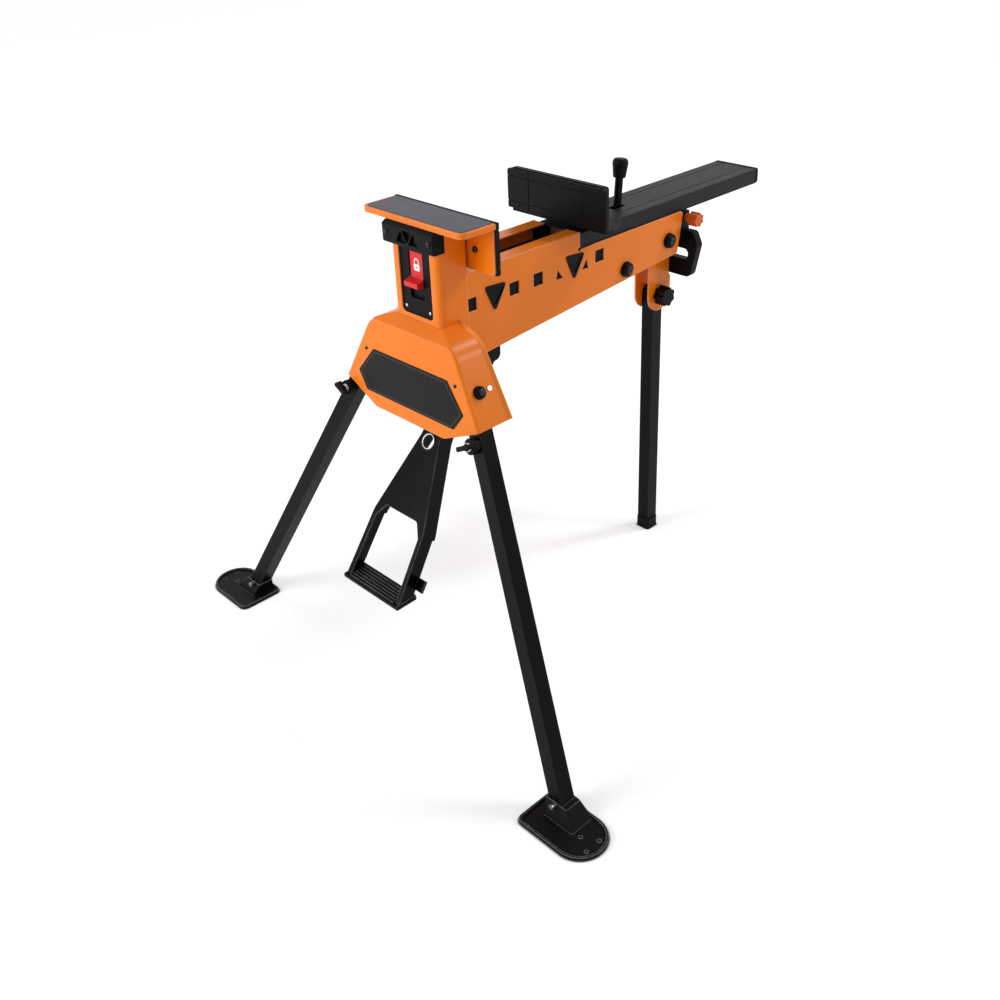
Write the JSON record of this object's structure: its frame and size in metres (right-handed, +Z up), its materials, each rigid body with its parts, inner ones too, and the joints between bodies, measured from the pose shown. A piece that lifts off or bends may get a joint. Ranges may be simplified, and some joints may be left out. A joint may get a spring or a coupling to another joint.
{
  "type": "portable clamping stand",
  "caption": "Portable clamping stand on folding legs, with a fixed head, a long sliding jaw on a folded beam, and a foot pedal that draws the jaw in.",
  "frame": {"origin": "on the floor, under the middle of the stand's bounding box", "axes": "+X to the stand's right seen from behind the pedal, +Y from the head to the rear end, +Z up"},
  "size_m": [1.1374, 1.1442, 0.916],
  "materials": {
    "orange_paint": "satin powder coat",
    "black_paint": "satin powder coat",
    "black_moulding": "fine moulded grain",
    "jaw_moulding": "fine moulded grain",
    "grey_cover": "matt film",
    "panel_film": "matt film",
    "red_moulding": "semi-gloss",
    "orange_moulding": "moulded",
    "plated_steel": "bright zinc",
    "spring_steel": "oiled"
  },
  "bodies": {
    "stand": {"main_beam": "orange_paint", "beam_inserts": "black_moulding", "guide_rails": "black_moulding", "cross_bolts": "black_moulding", "head_column": "orange_paint", "head_plate": "orange_paint", "head_cover": "grey_cover", "fixed_jaw_pad": "jaw_moulding", "pad_screws": "black_paint", "front_grip": "black_moulding", "grip_screws": "black_paint", "switch_panel": "black_moulding", "panel_screws": "plated_steel", "hub_housing": "orange_paint", "hub_panel": "panel_film", "hub_screws": "black_paint", "leg_brackets": "black_paint", "leg_pivot_bolts": "black_moulding", "leg_stop_pins": "plated_steel", "rear_leg_bracket": "orange_paint", "rear_end_housing": "black_moulding", "carry_handle": "black_moulding", "handle_screws": "black_paint", "pedal_pivot_pin": "plated_steel", "pedal_bracket": "black_paint"},
    "jaw": {"jaw_plate": "jaw_moulding", "jaw_face": "jaw_moulding", "slide_deck": "jaw_moulding", "deck_end_cap": "black_moulding", "drive_bar": "plated_steel", "lever_pin": "plated_steel"},
    "lever": {"lever_stem": "black_paint", "lever_knob": "black_moulding"},
    "lock_switch": {"lock_switch": "red_moulding"},
    "pedal": {"pedal_plate": "black_paint", "pedal_tread": "black_moulding", "pedal_arm": "black_paint", "pedal_return_spring": "spring_steel"},
    "carriage": {"pull_rod": "plated_steel", "drive_carriage": "black_paint", "locking_dogs": "plated_steel"},
    "front_leg_left": {"leg_tube_left": "black_paint", "lock_collar_left": "black_moulding", "foot_plate_left": "black_paint", "foot_pin_left": "plated_steel"},
    "front_leg_right": {"leg_tube_right": "black_paint", "lock_collar_right": "black_moulding", "foot_plate_right": "black_paint", "foot_pin_right": "plated_steel"},
    "leg_lock_left": {"leg_lock_left": "black_moulding"},
    "leg_lock_right": {"leg_lock_right": "black_moulding"},
    "rear_leg": {"rear_leg_tube": "black_paint", "rear_leg_foot": "black_moulding"},
    "rear_leg_knob": {"rear_leg_knob": "black_moulding"},
    "slide_lock_knob": {"slide_lock_knob": "orange_moulding"}
  },
  "joints": [
    {"name": "jaw_slide", "type": "slide", "parent": "stand", "child": "jaw", "axis": [0, 1, 0], "range_m": [-0.266, 0.04]},
    {"name": "jaw_lever", "type": "hinge", "parent": "jaw", "child": "lever", "pos_m": [0, 0.1641, 0.799], "axis": [1, 0, 0], "range_deg": [-20, 40]},
    {"name": "lock_switch_slide", "type": "slide", "parent": "stand", "child": "lock_switch", "axis": [0, 0, 1], "range_m": [-0.022, 0]},
    {"name": "pedal_pivot", "type": "hinge", "parent": "stand", "child": "pedal", "pos_m": [0, -0.2639, 0.606], "axis": [1, 0, 0], "range_deg": [0, 28], "stiffness_Nm_per_rad": 5, "springref_deg": -63.03},
    {"name": "carriage_slide", "type": "slide", "parent": "stand", "child": "carriage", "axis": [0, 1, 0], "range_m": [-0.0465, 0.0005]},
    {"name": "front_leg_left_pivot", "type": "hinge", "parent": "stand", "child": "front_leg_left", "pos_m": [-0.13509, -0.3665, 0.63079], "axis": [0.8813, 0, -0.4726], "range_deg": [0, 100]},
    {"name": "front_leg_right_pivot", "type": "hinge", "parent": "stand", "child": "front_leg_right", "pos_m": [0.13509, -0.3665, 0.63079], "axis": [0.8813, 0, 0.4726], "range_deg": [0, 100]},
    {"name": "leg_lock_left_pull", "type": "slide", "parent": "front_leg_left", "child": "leg_lock_left", "axis": [0.0902, -0.9816, 0.1682], "range_m": [0, 0.008], "stiffness_N_per_m": 400, "springref_m": -0.005},
    {"name": "leg_lock_right_pull", "type": "slide", "parent": "front_leg_right", "child": "leg_lock_right", "axis": [-0.0902, -0.9816, 0.1682], "range_m": [0, 0.008], "stiffness_N_per_m": 400, "springref_m": -0.005},
    {"name": "rear_leg_pivot", "type": "hinge", "parent": "stand", "child": "rear_leg", "pos_m": [0, 0.2831, 0.592], "axis": [1, 0, 0], "range_deg": [-75, 0]},
    {"name": "rear_leg_knob_turn", "type": "hinge", "parent": "stand", "child": "rear_leg_knob", "pos_m": [0, 0.2831, 0.592], "axis": [1, 0, 0], "continuous": true},
    {"name": "slide_lock_knob_turn", "type": "hinge", "parent": "stand", "child": "slide_lock_knob", "pos_m": [0.06, 0.3191, 0.762], "axis": [1, 0, 0], "continuous": true}
  ],
  "couplings": [
    {"joint": "carriage_slide", "follows": "pedal_pivot", "m_per_rad": -0.094057}
  ]
}
